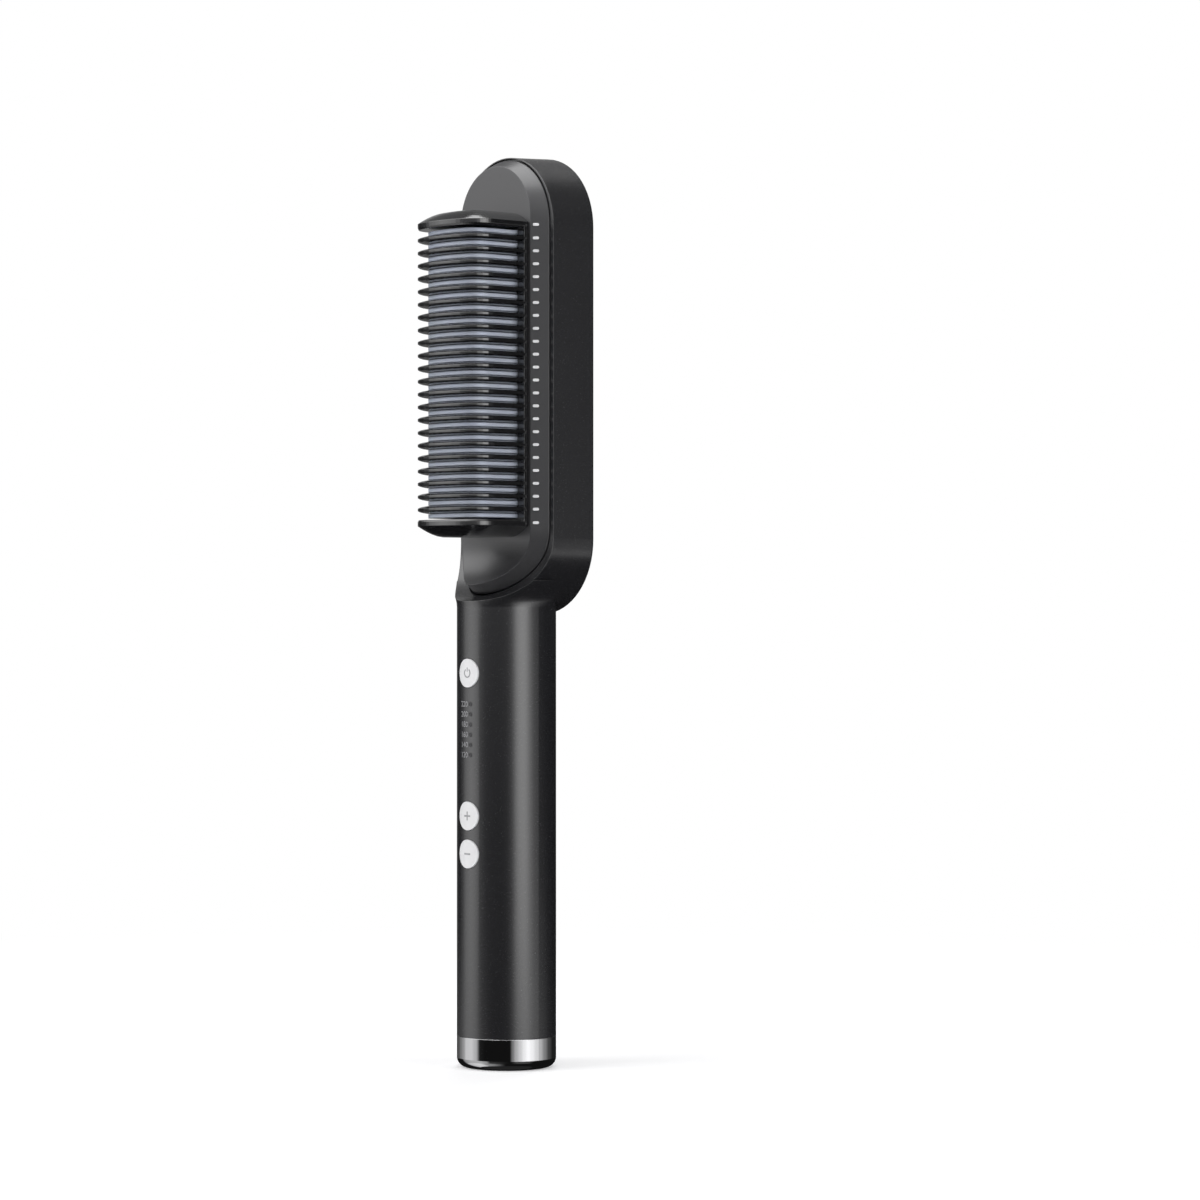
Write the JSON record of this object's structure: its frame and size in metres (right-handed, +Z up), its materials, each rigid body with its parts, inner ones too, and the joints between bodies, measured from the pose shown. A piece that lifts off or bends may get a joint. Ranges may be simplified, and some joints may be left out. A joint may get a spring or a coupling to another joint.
{
  "type": "hair straightening brush",
  "caption": "Upright electric hair straightening brush: round handle with push buttons, flat head with heated comb fins and a crowned back panel.",
  "frame": {"origin": "centre of the cord bush's mouth, in the plane that the foot of the handle stands on", "axes": "+Z up the handle towards the head, -Y the way the comb faces, +Y the way the back panel faces, +X to the right seen from the comb's side"},
  "size_m": [0.0446, 0.0446, 0.275],
  "materials": {
    "housing_plastic": "satin charcoal moulding",
    "cover_plastic": "satin dark grey moulding",
    "guard_plastic": "satin black heat resistant moulding",
    "blue_aluminium": "bluish ceramic coated casting",
    "pale_plastic": "pale gloss",
    "pink_metal": "polished pink anodised",
    "panel_plastic": "satin black",
    "zinc_steel": "zinc plated",
    "amber_film": "amber polyimide",
    "tablet_ceramic": "fired ceramic",
    "brass_strip": "rolled strip",
    "mica": "pressed mica",
    "bracket_aluminium": "stamped sheet",
    "sensor_glass": "glazed bead",
    "fuse_ceramic": "ceramic body",
    "lead_rubber": "silicone insulation",
    "button_white": "white satin gloss",
    "lens_clear": "smoked clear",
    "lamp_body": "moulded epoxy",
    "switch_black": "moulded",
    "board_green": "solder mask",
    "relay_blue": "moulded",
    "capacitor_amber": "dipped",
    "tinned_steel": "tinned",
    "carrier_plastic": "natural moulding",
    "chrome_plate": "mirror plated",
    "cap_plastic": "satin black",
    "bush_plastic": "satin black",
    "clamp_plastic": "moulded"
  },
  "bodies": {
    "brush": {"main_housing": "housing_plastic", "front_cover": "cover_plastic", "comb_guard": "guard_plastic", "heating_plate": "blue_aluminium", "guard_clips": "pale_plastic", "accent_ring": "pink_metal", "back_panel": "panel_plastic", "cover_screws": "zinc_steel", "insulation_film": "amber_film", "heating_tablets": "tablet_ceramic", "contact_strip": "brass_strip", "mica_board": "mica", "heater_bracket": "bracket_aluminium", "bracket_screws": "zinc_steel", "thermistor": "sensor_glass", "thermal_fuse": "fuse_ceramic", "heater_leads": "lead_rubber", "indicator_lens": "lens_clear", "indicator_lamps": "lamp_body", "tact_switches": "switch_black", "control_board": "board_green", "power_relay": "relay_blue", "filter_capacitor": "capacitor_amber", "lead_terminals": "tinned_steel", "board_carrier": "carrier_plastic", "carrier_screws": "zinc_steel", "end_ring": "chrome_plate", "end_cap": "cap_plastic", "cord_clamp": "clamp_plastic", "clamp_screws": "zinc_steel"},
    "power_button": {"power_button": "button_white"},
    "plus_button": {"plus_button": "button_white"},
    "minus_button": {"minus_button": "button_white"},
    "cord_swivel": {"cord_bush": "bush_plastic", "bush_clip": "zinc_steel"}
  },
  "joints": [
    {"name": "power_button_press", "type": "slide", "parent": "brush", "child": "power_button", "axis": [0, 1, 0], "range_m": [0, 0.0006], "stiffness_N_per_m": 600, "springref_m": -0.0008},
    {"name": "plus_button_press", "type": "slide", "parent": "brush", "child": "plus_button", "axis": [0, 1, 0], "range_m": [0, 0.0006], "stiffness_N_per_m": 600, "springref_m": -0.0008},
    {"name": "minus_button_press", "type": "slide", "parent": "brush", "child": "minus_button", "axis": [0, 1, 0], "range_m": [0, 0.0006], "stiffness_N_per_m": 600, "springref_m": -0.0008},
    {"name": "cord_swivel_turn", "type": "hinge", "parent": "brush", "child": "cord_swivel", "pos_m": [0, 0, 0], "axis": [0, 0, 1], "continuous": true}
  ]
}
